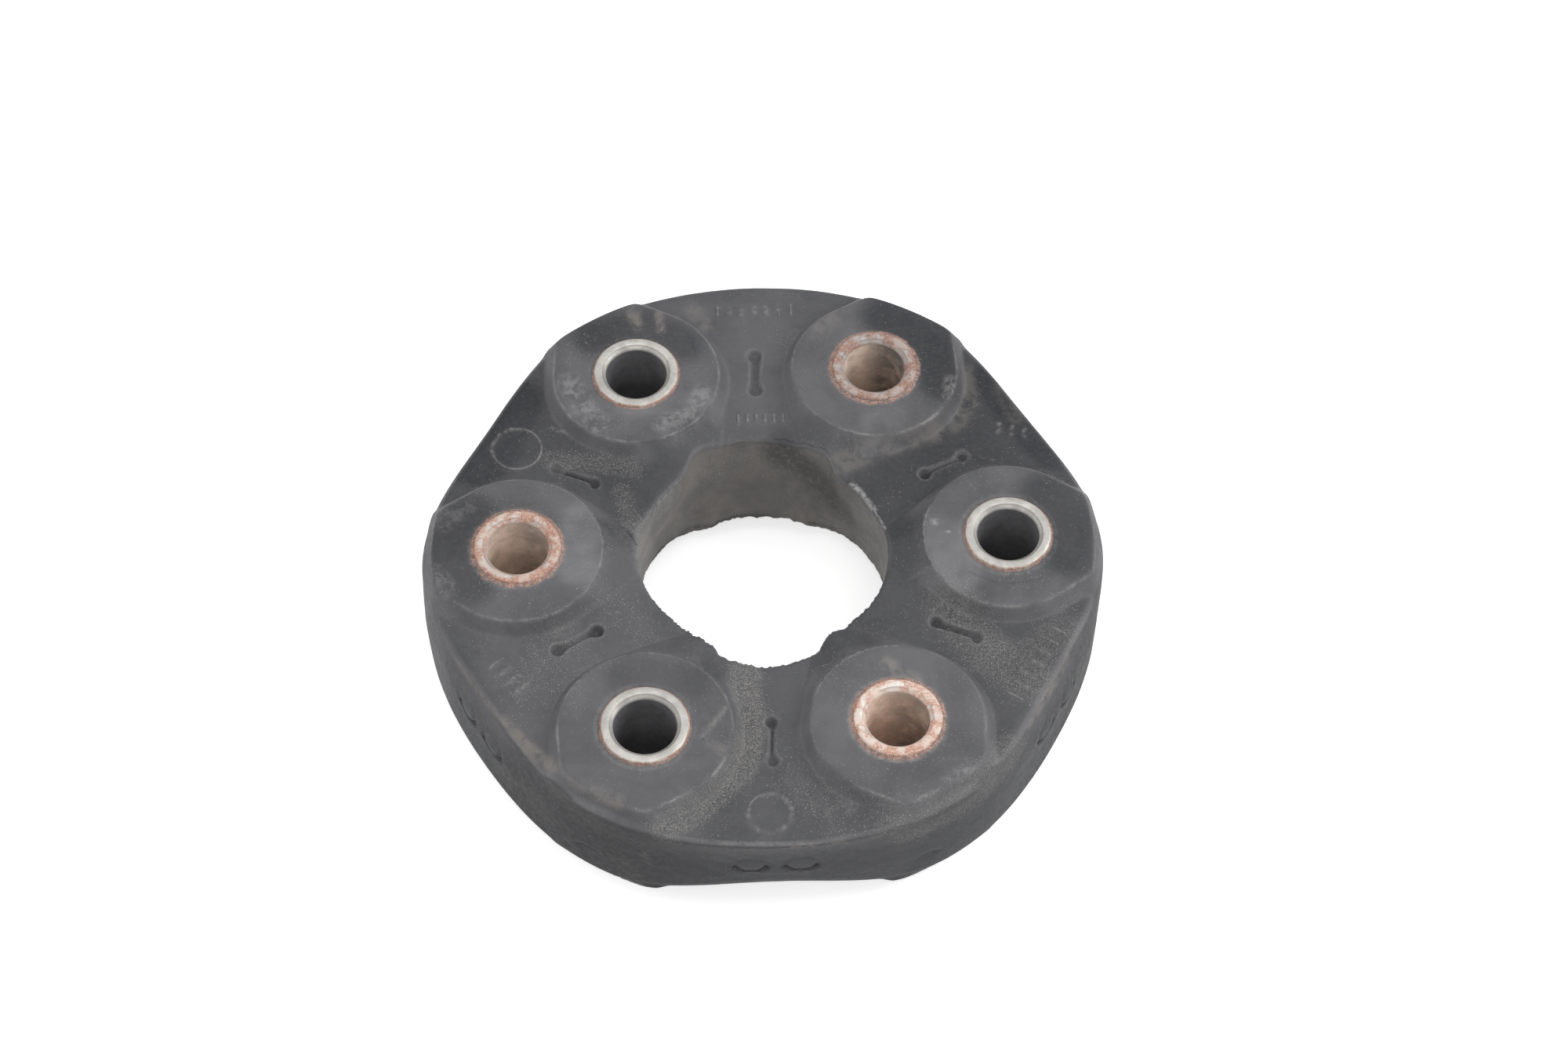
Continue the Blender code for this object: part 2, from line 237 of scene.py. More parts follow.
# How far from the axis a slot begins and ends, in the valleys on Y and in the others, and how far the others lean
SLOT_SPANS = {True: (39.3, 48.0), False: (37.2, 45.9)}
SLOT_LEAN = math.radians(2)


def slot_ends(angle):
    """A slot's inner and outer end, and the direction across it."""
    on_y = abs(math.sin(angle)) > math.sin(STEP)
    if not on_y:
        angle -= math.copysign(SLOT_LEAN, math.sin(2 * angle))
    inner, outer = SLOT_SPANS[on_y]
    out = np.array([math.cos(angle), math.sin(angle)])
    return inner * out, outer * out, np.array([-out[1], out[0]])


def segment_distance(points, a, b):
    t = np.clip(((points - a) @ (b - a)) / max(1e-9, (b - a) @ (b - a)), 0, 1)
    return np.linalg.norm(points - a - t[:, None] * (b - a), axis=1)


def line_distance(points, line):
    line = np.array(line, float)
    return np.min([segment_distance(points, a, b) for a, b in zip(line, line[1:])], axis=0)


def slot_distance(points, angle, half, twist, end):
    """Signed distance to a dumbbell outline, whose groove runs a little askew between its ends."""
    inner, outer, across = slot_ends(angle)
    ends = np.minimum(np.linalg.norm(points - inner, axis=1), np.linalg.norm(points - outer, axis=1)) - end
    groove = segment_distance(points, inner + across * twist, outer - across * twist) - half
    return soft_min(ends, groove, SLOT_SOFTNESS) + 0.06


def slot_fill(points, slot, depths):
    """How deep each point lies in a slot, from 0 to 1."""
    inner, outer, _ = slot_ends(slot[0])
    near_inner, near_outer = (smooth_step(-np.linalg.norm(points - end, axis=1), -2.8, -1.2) for end in (inner, outer))
    first, groove, last = depths
    share = groove + (first - groove) * near_inner + (last - groove) * near_outer
    return share * smooth_step(-slot_distance(points, *slot), -0.3, 0.6)


# Where the mould carried marks there are plain rings, as centre and radius, and plain ticks, as the middle of the
# row, its direction in degrees, the number of ticks, their spacing and their length
MARK_RINGS = [((-48.2, 26.2), 4.9), ((-1.0, -59.4), 4.2)]
MARK_TICKS = [
    ((0.4, 59.5), 0, 7, 2.5, 2.4), ((0.7, 32.2), 0, 6, 1.8, 1.7), ((-50.0, -27.2), -48, 4, 2.6, 3.4),
    ((51.6, -27.8), 57, 7, 2.9, 3.0), ((50.9, 27.6), -12, 3, 2.6, 2.4)]
MARK_HEIGHT = 0.32
MARK_WIDTH = 0.3

# Cuts and cracks in the upper face, as lines with a depth. A rise is less than nothing deep.
CUTS = [
    ([(39.4, -8.3), (43.5, -10.6), (46.2, -11.4), (50.5, -11.2), (54, -10.1)], 0.16),
    ([(-14, 52), (-12.9, 49.8), (-12.4, 47.6), (-11.9, 45)], 0.14),
    ([(28.1, -8.0), (29.6, -7.9), (31.1, -7.4)], 0.12),
    ([(1.5, 27.5), (3.4, 27.0), (5.2, 26.9), (7.6, 25.7), (9.6, 25.2), (11.0, 23.9), (12.6, 23.3), (14.2, 21.8)], 0.3),
    ([(-26.6, 4.9), (-25.7, 3.6), (-24.9, 2.2)], 0.4),
    ([(-8.9, -38.2), (-13.3, -44.2)], -0.06),
    ([(-13.3, -44.2), (-9.2, -47.8)], -0.06)]
CUT_WIDTH = 0.28


def mark_segments():
    """The plain ticks, each as its two ends."""
    for centre, turn, count, spacing, length in MARK_TICKS:
        along = np.array([math.cos(math.radians(turn)), math.sin(math.radians(turn))])
        up = np.array([-along[1], along[0]]) * length / 2
        for i in range(count):
            middle = np.array(centre) + along * spacing * (i - (count - 1) / 2)
            yield middle - up, middle + up


floor_sway = waves(11, 26)
floor_ripple = waves(12, 7)
floor_grit = waves(15, 1.1, 20)
wall_sway = waves(13, 18)
wall_ripple = waves(14, 5)


def face_height(x, y, side):
    """Height of the upper or lower face over the middle plane."""
    angle, radius = np.arctan2(y, x), np.hypot(x, y)
    reach, rounding = edge(angle, side)
    away, phi = pad_place(x, y)
    top = pad_reach(phi, 0, PAD_R)
    width = pad_reach(phi, SKIRT, RIDGE_TIP) - top
    pad = PAD_H - (PAD_H - FLOOR_H) * soft_ramp(away - top, PAD_EDGE_SOFTNESS) / width
    share = np.clip((radius - (reach - rounding)) / rounding, 0, 0.999)
    points = np.stack([x, y, np.zeros_like(x)], 1)
    floor = FLOOR_H - rounding * (1 - np.sqrt(1 - share ** 2))
    floor = floor + FLOOR_WAVES[0] * floor_sway(points) + FLOOR_WAVES[1] * floor_ripple(points)
    if side == 1:
        flat = points[:, :2]
        for slot, depths in zip(SLOTS, DEPTHS):
            floor = floor - SLOT_DEPTH * slot_fill(flat, slot, depths)
            floor = floor + SLOT_RIM * bell(slot_distance(flat, *slot) - 0.6, 0.5)
        marks = [np.abs(np.linalg.norm(flat - centre, axis=1) - ring) for centre, ring in MARK_RINGS]
        marks += [segment_distance(flat, a, b) for a, b in mark_segments()]
        floor = floor + MARK_HEIGHT * smooth_step(-np.min(marks, axis=0), -MARK_WIDTH, -MARK_WIDTH / 4)
    height = floor + soft_ramp(pad - floor, FILLET) - 0.03
    if side == 1:
        for line, depth in CUTS:
            height = height - depth * smooth_step(-line_distance(flat, line), -CUT_WIDTH, 0)
        rusty = np.round(angle / STEP) % 2 == 1
        crust = np.where(rusty, 0.32 + 0.08 * floor_grit(points), 0.1)
        height = height + crust * (1 - smooth_step(away, SEAT_R + 0.1, SEAT_R + np.where(rusty, 0.9, 0.4)))
    from_hole = radius - hole_radius(angle, side)
    rounding = 0.3 + 0.5 * rounded_side(angle)
    return height - rounding * bell(from_hole, rounding)


# The marks of the mould's pins on the wall: a low lens in a groove that is deepest under its lower edge
LENS_ALONG = 4.8
LENS_LEVEL = 1.5
LENS_HALF = (2.75, 2.25)
LENS_RISE = 0.2
LENS_GAP = 0.9
# Two dents low in the wall, as angle in degrees, height over the middle plane and depth, and half their size
WALL_DENTS = [(238, -4.6, 0.5), (296, -5.0, 0.4)]
DENT_HALF = (3.1, 1.15)


def lens_shape(angle, height):
    """How far each point of the wall belongs to a lens and to the groove round it, both 0 to 1."""
    turn = (angle - STEP / 2) % STEP
    across = np.abs(SIDE_REACH * np.sin(np.minimum(turn, STEP - turn))) - LENS_ALONG
    up = (height - LENS_LEVEL) / LENS_HALF[1]
    away = np.sqrt((across / LENS_HALF[0]) ** 2 + up ** 2)
    lens = smooth_step(-away, -1.0, -0.75) * smooth_step(-up, -1.0, 0.7)
    groove = smooth_step(-np.abs(away - 1.17), -0.27, -0.14) * (0.16 + 0.84 * smooth_step(-up, 0.2, 0.85))
    return lens, groove


def wall_radius(angle, z):
    """The outer wall's radius at each angle and height, with its lenses and dents."""
    height = z - MID_Z
    radius = np.zeros_like(angle)
    middle = SIDE_REACH + (CORNER_REACH - SIDE_REACH) * (1 + np.cos(6 * angle)) / 2
    for side in (1, -1):
        reach, rounding = edge(angle, side)
        start = FLOOR_H - rounding
        up = side * height
        straight = middle + (reach - middle) * (np.clip(up, 0, None) / start) ** 2
        drop = np.clip(up - start, 0, rounding)
        curved = reach - rounding + np.sqrt(np.maximum(0, rounding ** 2 - drop ** 2))
        here = np.where(up > start, np.maximum(curved, rim_radius(angle, side)), straight)
        radius = np.where(up >= 0, here, radius) if side == 1 else np.where(up > 0, here, radius)
    for place, level, depth in WALL_DENTS:
        turn = angle - math.radians(place)
        away = np.sqrt((middle * np.sin(turn) / DENT_HALF[0]) ** 2 + ((height - level) / DENT_HALF[1]) ** 2)
        radius = radius - np.where(np.cos(turn) > 0, depth * smooth_step(-away, -1.0, -0.45), 0)
    lens, groove = lens_shape(angle, height)
    return radius + LENS_RISE * lens - LENS_GAP * groove


def face_points(side, loops):
    """Scattered points for one face: rings round each pad, rows along the edges, rings round marks, and a grid."""
    fine = 1.0 if side == 1 else 2.4
    clouds = []
    count = 140 if side == 1 else 60
    phi = full_turn(count) - math.pi
    top = pad_reach(phi, 0, PAD_R)
    width = pad_reach(phi, SKIRT, RIDGE_TIP) - top
    rings = [SEAT_R + d for d in (0.1, 0.22, 0.36, 0.52, 0.72, 0.95, 1.5, 2.3, 3.2, 4.2, 5.2, 6.2)]
    rings = [np.full(count, r) for r in (rings if side == 1 else rings[1::3])]
    rings += [top + d for d in ((-0.9, -0.55, -0.3, -0.14, 0.0, 0.14, 0.3) if side == 1 else (-0.4, 0.0, 0.3))]
    shares = (0.3, 0.45, 0.6, 0.75, 0.88, 1.0, 1.12, 1.28) if side == 1 else (0.5, 0.9, 1.2)
    rings += [top + width * share for share in shares]
    for reach in rings:
        x, y = polar(reach, phi)
        for sleeve in SLEEVE_ANGLES:
            cx = BOLT_R + x
            clouds.append(np.stack([cx * math.cos(sleeve) - y * math.sin(sleeve),
                                    cx * math.sin(sleeve) + y * math.cos(sleeve)], 1))
    if side == 1:
        for slot in SLOTS:
            inner, outer, across = slot_ends(slot[0])
            spine = inner + (outer - inner) * np.linspace(-0.35, 1.35, 100)[:, None]
            cloud = (spine[:, None] + across * np.linspace(-3, 3, 41)[:, None]).reshape(-1, 2)
            clouds.append(cloud[slot_distance(cloud, *slot) < 0.9])
        for centre, ring in MARK_RINGS:
            for d in (-0.3, -0.14, 0.0, 0.14, 0.3):
                clouds.append(np.array(centre) + np.stack(polar(ring + d, full_turn(110)), 1))
        cuts = ((np.array(a), np.array(b), CUT_WIDTH) for line, _ in CUTS for a, b in zip(line, line[1:]))
        for a, b, reach in [*((a, b, MARK_WIDTH) for a, b in mark_segments()), *cuts]:
            along = (b - a) / np.linalg.norm(b - a)
            spine = a + along * np.arange(-reach, np.linalg.norm(b - a) + reach + 0.1, 0.3)[:, None]
            offsets = np.array([along[1], -along[0]]) * (reach * np.array([-1, -0.5, 0, 0.5, 1]))[:, None]
            clouds.append((spine[:, None] + offsets).reshape(-1, 2))
    spacing = 0.75 * fine
    rows = np.arange(-CORNER_REACH, CORNER_REACH, spacing * 0.866)
    for i, y in enumerate(rows):
        x = np.arange(-CORNER_REACH, CORNER_REACH, spacing) + (spacing / 2 if i % 2 else 0)
        clouds.append(np.stack([x, np.full_like(x, y)], 1))
    grid_start = len(clouds) - len(rows)
    points = np.concatenate(clouds)
    is_grid = np.concatenate([np.full(len(c), i >= grid_start) for i, c in enumerate(clouds)])
    rng = np.random.default_rng(21 + side)
    points = points + np.where(is_grid[:, None], rng.uniform(-0.08, 0.08, points.shape) * fine, 0)

    angle, radius = np.arctan2(points[:, 1], points[:, 0]), np.hypot(*points.T)
    away, direction = pad_place(*points.T)
    foot = pad_reach(direction, SKIRT, RIDGE_TIP)
    top_reach = pad_reach(direction, 0, PAD_R)
    keep = (radius < rim_radius(angle, side) - 0.25) & (radius > hole_radius(angle, side) + 0.2)
    keep &= away > SEAT_R + 0.15
    clear_of_pad = away > top_reach + 1.32 * (foot - top_reach)
    keep &= ~is_grid | clear_of_pad
    keep &= is_grid | (away < 25.5)
    if side == 1:
        for slot in SLOTS:
            keep &= ~is_grid | (slot_distance(points, *slot) > 0.95)
    points = points[keep]
    extra = []
    angles = full_turn(RIM_POINTS)
    for inset in ((0.3, 0.65, 1.05, 1.5, 2.0) if side == 1 else (0.5, 1.1, 2.0, 3.2)):
        extra.append(np.stack(polar(rim_radius(angles, side) - inset, angles), 1)[::1 if side == 1 else 3])
    for inset in ((0.22, 0.5, 0.9) if side == 1 else (0.4,)):
        step = 2 if side == 1 else 5
        extra.append(np.stack(polar(hole_radius(angles[::step], side) + inset, angles[::step]), 1))
    extra = np.concatenate(extra)
    clear = pad_place(*extra.T)[0] > SEAT_R + 3
    points = np.concatenate([extra[clear], points])
    _, first = np.unique(np.round(points / 0.11).astype(int), axis=0, return_index=True)
    points = points[np.sort(first)]
    return np.concatenate([*loops, points])


def flood(faces, fences, seed):
    """Numbers of the faces that can be reached from seed without crossing a fence."""
    by_edge = {}
    for i, face in enumerate(faces):
        for a, b in zip(face, face[1:] + face[:1]):
            by_edge.setdefault((min(a, b), max(a, b)), []).append(i)
    seen, queue = {seed}, [seed]
    while queue:
        i = queue.pop()
        face = faces[i]
        for a, b in zip(face, face[1:] + face[:1]):
            pair = (min(a, b), max(a, b))
            if pair in fences:
                continue
            for j in by_edge[pair]:
                if j not in seen:
                    seen.add(j)
                    queue.append(j)
    return seen


def face_mesh(side, loops):
    """Triangulates a face between its boundary loops. Returns points, triangles and each loop's point numbers."""
    points = face_points(side, loops)
    starts = np.cumsum([0] + [len(loop) for loop in loops])
    edges = [(start + i, start + (i + 1) % len(loop)) for start, loop in zip(starts, loops) for i in range(len(loop))]
    out = geometry.delaunay_2d_cdt([Vector(p) for p in points], [(int(a), int(b)) for a, b in edges], [], 0, 1e-5)
    coords = np.array([tuple(v) for v in out[0]])
    place = {original: i for i, originals in enumerate(out[3]) for original in originals}
    fences = {(min(place[a], place[b]), max(place[a], place[b])) for a, b in edges}
    faces = [list(face) for face in out[2]]
    centres = np.array([coords[face].mean(0) for face in faces])
    seed = int(np.argmin(np.linalg.norm(centres - polar(31.0, math.radians(30)), axis=1)))
    faces = [faces[i] for i in sorted(flood(faces, fences, seed))]
    numbers = [[place[start + i] for i in range(len(loop))] for start, loop in zip(starts, loops)]
    used = sorted({i for face in faces for i in face})
    renumber = {old: new for new, old in enumerate(used)}
    faces = [[renumber[i] for i in face] for face in faces]
    numbers = [[renumber[i] for i in loop] for loop in numbers]
    coords = coords[used]
    z = MID_Z + side * face_height(*coords.T, side)
    if side == -1:
        faces = [face[::-1] for face in faces]
    return np.column_stack([coords, z]), faces, numbers


def outline_angles():
    """Angles round the outer wall, closer together where the lenses are."""
    angles = np.linspace(0, 2 * math.pi, 4001)
    dense = np.ones_like(angles)
    for valley in VALLEY_ANGLES:
        turn = np.abs((angles - valley + math.pi) % (2 * math.pi) - math.pi) * SIDE_REACH
        dense += 1.3 * np.exp(-((turn - LENS_ALONG) / 3.2) ** 4)
    total = np.concatenate([[0], np.cumsum((dense[1:] + dense[:-1]) / 2)])
    return np.interp(np.arange(RIM_POINTS) / RIM_POINTS * total[-1], total, angles)


def on_cylinder(radius, angle, z):
    return np.stack([*polar(np.full_like(angle, radius), angle), z], 1)


def band(top, bottom, shares, radius_at):
    """Rows of points between two loops, whose radius comes from radius_at(angle, height, share)."""
    angle = np.arctan2(top[:, 1], top[:, 0])
    rows = []
    for share in shares:
        z = top[:, 2] + (bottom[:, 2] - top[:, 2]) * share
        x, y = polar(radius_at(angle, z, share), angle)
        rows.append(np.stack([x, y, z], 1))
    return rows


def hole_wall(angle, z, share):
    """The centre hole's wall, between its upper and lower outlines."""
    top, bottom, end = hole_radius(angle, 1), hole_radius(angle, -1), lower_outline(angle)
    crease = bell((np.degrees(angle) - (CREASE[0] + 180)) % 360 - 180, CREASE[1])
    core = upper_outline(angle, 14) * (1 - crease) + (upper_outline(angle, 3) + 0.3) * crease
    core = core + (end - core) * (0.35 * share + 0.65 * share * share * (3 - 2 * share))
    points = on_cylinder(25.0, angle, z)
    core = core + (top - core) * math.exp(-share / 0.05) + (bottom - end) * math.exp((share - 1) / 0.07)
    return core + HOLE_WAVES[0] * wall_sway(points) + HOLE_WAVES[1] * wall_ripple(points)


def outer_wall(angle, z, share):
    """The outer wall, which sways and ripples most at its middle height."""
    points = on_cylinder(65.0, angle, z)
    fade = math.sin(math.pi * share) ** 0.5
    return wall_radius(angle, z) + fade * (WALL_WAVES[0] * wall_sway(points) + WALL_WAVES[1] * wall_ripple(points))


# Where the rows of points lie on the outer wall and on the hole's wall, as shares of the way down. Those on the outer
# wall are closer together at its rounded edges and where the lenses are.
WALL_ROWS = [
    0.015, 0.035, 0.06, 0.09, 0.125, 0.17, 0.22, 0.27, 0.3, 0.318, 0.336, 0.355, 0.385, 0.42, 0.455, 0.49,
    *np.linspace(0.515, 0.585, 9), 0.6, 0.63, 0.655, 0.68, 0.7, 0.72, 0.74, 0.77, 0.81, 0.85, 0.89, 0.92, 0.95, 0.975]
HOLE_ROWS = [0.02, 0.05, 0.1, 0.18, 0.28, 0.39, 0.5, 0.61, 0.72, 0.82, 0.9, 0.955, 0.985]


def make_rubber():
    """The rubber's points and faces: two faces with their boundary loops, and the walls between those loops."""
    outer, inner = outline_angles(), full_turn(HOLE_POINTS)
    seats = [np.array(polar(BOLT_R, sleeve)) + np.stack(polar(SEAT_R, full_turn(SEAT_POINTS)), 1)
             for sleeve in SLEEVE_ANGLES]
    faces_of = {}
    for side in (1, -1):
        loops = [np.stack(polar(rim_radius(outer, side), outer), 1),
                 np.stack(polar(hole_radius(inner, side), inner), 1), *seats]
        faces_of[side] = face_mesh(side, loops)
    (top, top_faces, top_loops), (bottom, bottom_faces, bottom_loops) = faces_of[1], faces_of[-1]
    shift = len(top)
    faces = top_faces + [[i + shift for i in face] for face in bottom_faces]
    bottom_loops = [[i + shift for i in loop] for loop in bottom_loops]
    both = np.concatenate([top, bottom])
    count = len(both)
    bands = []
    walls = [(WALL_ROWS, outer_wall, True), (HOLE_ROWS, hole_wall, False), *[([], None, False)] * len(seats)]
    for upper, lower, (shares, radius_at, outward) in zip(top_loops, bottom_loops, walls):
        numbers = [upper]
        for row in band(both[upper], both[lower], shares, radius_at):
            bands.append(row)
            numbers.append(list(range(count, count + len(row))))
            count += len(row)
        numbers.append(lower)
        for a, b in zip(numbers, numbers[1:]):
            for i in range(len(a)):
                j = (i + 1) % len(a)
                quad = [a[i], b[i], b[j], a[j]]
                faces.append(quad if outward else quad[::-1])
    return np.concatenate([both, *bands]), faces


def new_object(name, data):
    obj = bpy.data.objects.new(name, data)
    bpy.context.scene.collection.objects.link(obj)
    return obj


def new_piece(name, verts, faces, replaced, sharp):
    """A visible piece in place of a CAD node. Its edges look sharp from this many degrees up."""
    data = bpy.data.meshes.new(name)
    data.from_pydata((verts * MM).tolist(), [], faces)
    data.update()
    data.shade_smooth()
    data.set_sharp_from_angle(angle=math.radians(sharp))
    obj = new_object(name, data)
    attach(obj, "root")
    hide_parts(replaced)
    return obj


def set_mask(obj, name, values):
    layer = obj.data.attributes.new(name, "FLOAT", "POINT")
    layer.data.foreach_set("value", np.clip(values, 0, 1).astype(np.float32))


class Shader:
    """A material whose nodes are made one call at a time. Each call returns the new node's output."""

    def __init__(self, name):
        self.material = bpy.data.materials.new(name)
        self.material.use_nodes = True
        self.tree = self.material.node_tree
        self.surface = self.tree.nodes["Principled BSDF"]
        self.place = self.node("ShaderNodeTexCoord", out="Object")

    def put(self, socket, value):
        if isinstance(value, bpy.types.NodeSocket):
            self.tree.links.new(value, socket)
        elif hasattr(value, "__len__") and len(value) == 3 and socket.type == "RGBA":
            socket.default_value = (*value, 1.0)
        else:
            socket.default_value = value

    def node(self, kind, out=0, inputs=None, **settings):
        node = self.tree.nodes.new(kind)
        for key, value in settings.items():
            setattr(node, key, value)
        for key, value in (inputs or {}).items():
            self.put(node.inputs[key], value)
        return node.outputs[out]

    def mask(self, name):
        return self.node("ShaderNodeAttribute", out="Fac", attribute_name=name)

    def noise(self, scale, detail=4.0, rough=0.6, warp=0.0):
        return self.node("ShaderNodeTexNoise", inputs={
            "Vector": self.place, "Scale": scale, "Detail": detail, "Roughness": rough, "Distortion": warp})

    def math(self, operation, a, b):
        return self.node("ShaderNodeMath", inputs={0: a, 1: b}, operation=operation)

    def scaled(self, value, factor, plus=0.0):
        return self.node("ShaderNodeMath", inputs={0: value, 1: factor, 2: plus}, operation="MULTIPLY_ADD")

    def span(self, value, low, high, to_low=0.0, to_high=1.0):
        return self.node("ShaderNodeMapRange", inputs={0: value, 1: low, 2: high, 3: to_low, 4: to_high},
                         interpolation_type="SMOOTHSTEP")

    def mix(self, share, a, b):
        return self.node("ShaderNodeMix", out=2, inputs={0: share, 6: a, 7: b}, data_type="RGBA")

    def patchy(self, name, noise, *limits):
        """A mask that a noise breaks up."""
        return self.math("MULTIPLY", self.mask(name), self.span(noise, *limits))

    def specks(self, scale, size, density):
        """Small round grains, one in each cell of a grid at most. density is the share of cells that hold one."""
        distance = self.node("ShaderNodeTexVoronoi", out="Distance", inputs={"Vector": self.place, "Scale": scale})
        pick = self.node("ShaderNodeSeparateColor", inputs={0: distance.node.outputs["Color"]})
        return self.math("MULTIPLY", self.span(distance, size, size * 0.5), self.math("LESS_THAN", pick, density))

    def set(self, **values):
        for name, value in values.items():
            self.put(self.surface.inputs[name.replace("_", " ")], value)

    def bump(self, layers):
        """Stacks bumps of (height, strength, depth in metres)."""
        normal = None
        for height, strength, depth in layers:
            inputs = {"Height": height, "Strength": strength, "Distance": depth}
            if normal is not None:
                inputs["Normal"] = normal
            normal = self.node("ShaderNodeBump", inputs=inputs)
        self.put(self.surface.inputs["Normal"], normal)


def rubber_material():
    """Black rubber under a grey film, with dust, stains, worn edges partly painted as highlights, rust round the
    sleeves, and painted shade in cracks, slots and grooves and on the walls.
    """
    s = Shader("rubber")
    cloud = s.noise(35, 5, 0.6)
    grain = s.noise(1100, 6, 0.65)
    fine = s.noise(3200, 3, 0.7)
    base = s.mix(s.span(cloud, 0.35, 0.65), (0.025, 0.026, 0.030), (0.040, 0.041, 0.046))
    film = s.patchy("film", s.noise(60, 6, 0.65, 0.3), 0.25, 0.7, 0.55, 1.15)
    base = s.mix(film, base, (0.169, 0.169, 0.178))
    base = s.mix(s.span(grain, 0.35, 0.75, 0, 0.12), base, (0.2, 0.2, 0.2))
    brown = s.patchy("brown", s.noise(90, 6, 0.65, 0.3), 0.3, 0.7, 0.5, 1)
    base = s.mix(brown, base, (0.235, 0.222, 0.203))
    dust = s.mask("dust")
    sand = s.math("MULTIPLY", s.span(dust, 0.25, 1.0), s.span(fine, 0.45, 0.6))
    base = s.mix(s.scaled(sand, 0.6), base, (0.25, 0.24, 0.22))
    pale = s.patchy("pale", s.noise(500, 6, 0.75, 0.4), 0.42, 0.6)
    base = s.mix(s.scaled(pale, 0.42), base, (0.36, 0.355, 0.35))
    tan = s.patchy("tan", s.noise(330, 5, 0.65, 0.4), 0.35, 0.6)
    base = s.mix(s.scaled(tan, 0.6), base, (0.27, 0.245, 0.215))
    # Pale edges: worn and dusty, partly a painted highlight along the pads' rims and the outer edge
    rim = s.patchy("rim", s.noise(900, 4, 0.7), 0.38, 0.6, 0.25, 1)
    base = s.mix(s.scaled(rim, 0.6), base, (0.34, 0.33, 0.32))
    small = s.specks(3900, 0.42, s.scaled(dust, 0.7, -0.02))
    base = s.mix(s.scaled(small, 0.5), base, (0.42, 0.41, 0.385))
    large = s.specks(2300, 0.28, s.scaled(dust, 0.14, -0.012))
    base = s.mix(s.scaled(large, 0.65), base, (0.60, 0.58, 0.55))
    chalk = s.patchy("chalk", grain, 0.38, 0.55, 0.2, 1)
    base = s.mix(s.scaled(chalk, 0.8), base, (0.42, 0.41, 0.40))
    rust = s.patchy("rust", s.noise(900, 5, 0.7), 0.35, 0.6, 0.3, 1)
    crust = s.mix(s.span(fine, 0.4, 0.6), (0.50, 0.33, 0.27), (0.26, 0.15, 0.12))
    base = s.mix(rust, base, crust)
    # Painted shade in cracks, slots and grooves, on the walls and along the hole's lower edge
    dark = s.patchy("dark", s.noise(900, 3, 0.6), 0.3, 0.5, 0.4, 1)
    base = s.mix(s.scaled(dark, 0.85), base, (0.015, 0.015, 0.017))
    s.set(Base_Color=base, Roughness=s.span(grain, 0.3, 0.7, 0.5, 0.68), Specular_IOR_Level=0.3)
    s.bump([(s.noise(220, 4, 0.6), 0.3, 0.0004), (grain, 0.3, 0.0001), (small, 0.4, 0.0001), (large, 0.6, 0.00015)])
    return s.material


def steel_material(name, colour, rust_low, rust_high, bore):
    """Steel of this colour, which rusts where the rust mask and a noise add up to more than rust_low."""
    s = Shader(name)
    colour, bore = np.array(colour), np.array(bore)
    grain = s.noise(1400, 5, 0.65)
    fine = s.noise(3600, 3, 0.7)
    patch = s.noise(230, 5, 0.65, 0.5)
    base = s.mix(s.span(patch, 0.35, 0.65), colour, colour * 0.72)
    # Painted shade: a thin dark line along the mouth's chamfer and the outer shoulder
    base = s.mix(s.scaled(s.mask("edge"), 0.6), base, (0.12, 0.10, 0.09))
    rusty = s.span(s.math("ADD", s.mask("rust"), patch), rust_low, rust_high)
    tint = s.mix(s.span(fine, 0.42, 0.6), colour * (0.86, 0.62, 0.53), colour * (0.55, 0.30, 0.23))
    tint = s.mix(s.span(s.noise(420, 4, 0.6), 0.45, 0.6), tint, colour * (0.9, 0.8, 0.75))
    tint = s.mix(s.scaled(s.specks(2400, 0.35, 0.3), 0.7), tint, colour * 1.15)
    tint = s.mix(s.scaled(s.specks(2700, 0.3, 0.12), 0.7), tint, (0.12, 0.08, 0.07))
    base = s.mix(rusty, base, tint)
    bore_tint = s.mix(s.span(s.noise(260, 6, 0.75), 0.35, 0.65), bore, bore * 0.7)
    bore_tint = s.mix(s.scaled(s.specks(3000, 0.38, 0.2), 0.5), bore_tint, 1.05 * bore + 0.08)
    bore_tint = s.mix(s.scaled(s.specks(1900, 0.22, 0.05), 0.6), bore_tint, (0.5, 0.5, 0.5))
    # Painted shade: one side of each bore is mixed towards dark grey
    bore_shade = s.patchy("bore_shade", s.noise(300, 4, 0.6), 0.3, 0.6, 0.6, 1)
    base = s.mix(s.mask("bore"), base, s.mix(bore_shade, bore_tint, (0.13, 0.12, 0.115)))
    s.set(Base_Color=base)
    covered = s.math("MAXIMUM", rusty, s.mask("bore"))
    s.set(Metallic=s.scaled(covered, -0.6, 0.6), Roughness=s.span(covered, 0, 1, 0.5, 0.85))
    s.bump([(grain, 0.3, 0.0001), (s.math("MULTIPLY", rusty, fine), 0.6, 0.0003)])
    return s.material


# Painted shade on one side of each bore: how dark that side is
BORE_SHADE = {1: 0.0, 2: 0.95, 3: 0.0, 4: 0.6, 5: 0.0, 6: 0.7}
# A sleeve's end as radius and depth under its face, and the two radii along whose edges a thin dark line is painted as
# shade
MOUTH_R = BORE_R + 0.65
SHOULDER_R = SLEEVE_R - 0.07
SLEEVE_END = [
    (SLEEVE_R, 3.0), (SLEEVE_R, 1.2), (SLEEVE_R, 0.45), (SHOULDER_R, 0.2), (SLEEVE_R - 0.25, 0.04),
    (SLEEVE_R - 0.5, 0.0), (7.5, 0.0), (MOUTH_R + 0.2, 0.0), (MOUTH_R, 0.08), (BORE_R + 0.3, 0.45),
    (BORE_R + 0.06, 0.75), (BORE_R, 0.9), (BORE_R, 1.2), (BORE_R, 4.5), (BORE_R, 8.0)]
SLEEVE_POINTS = 128


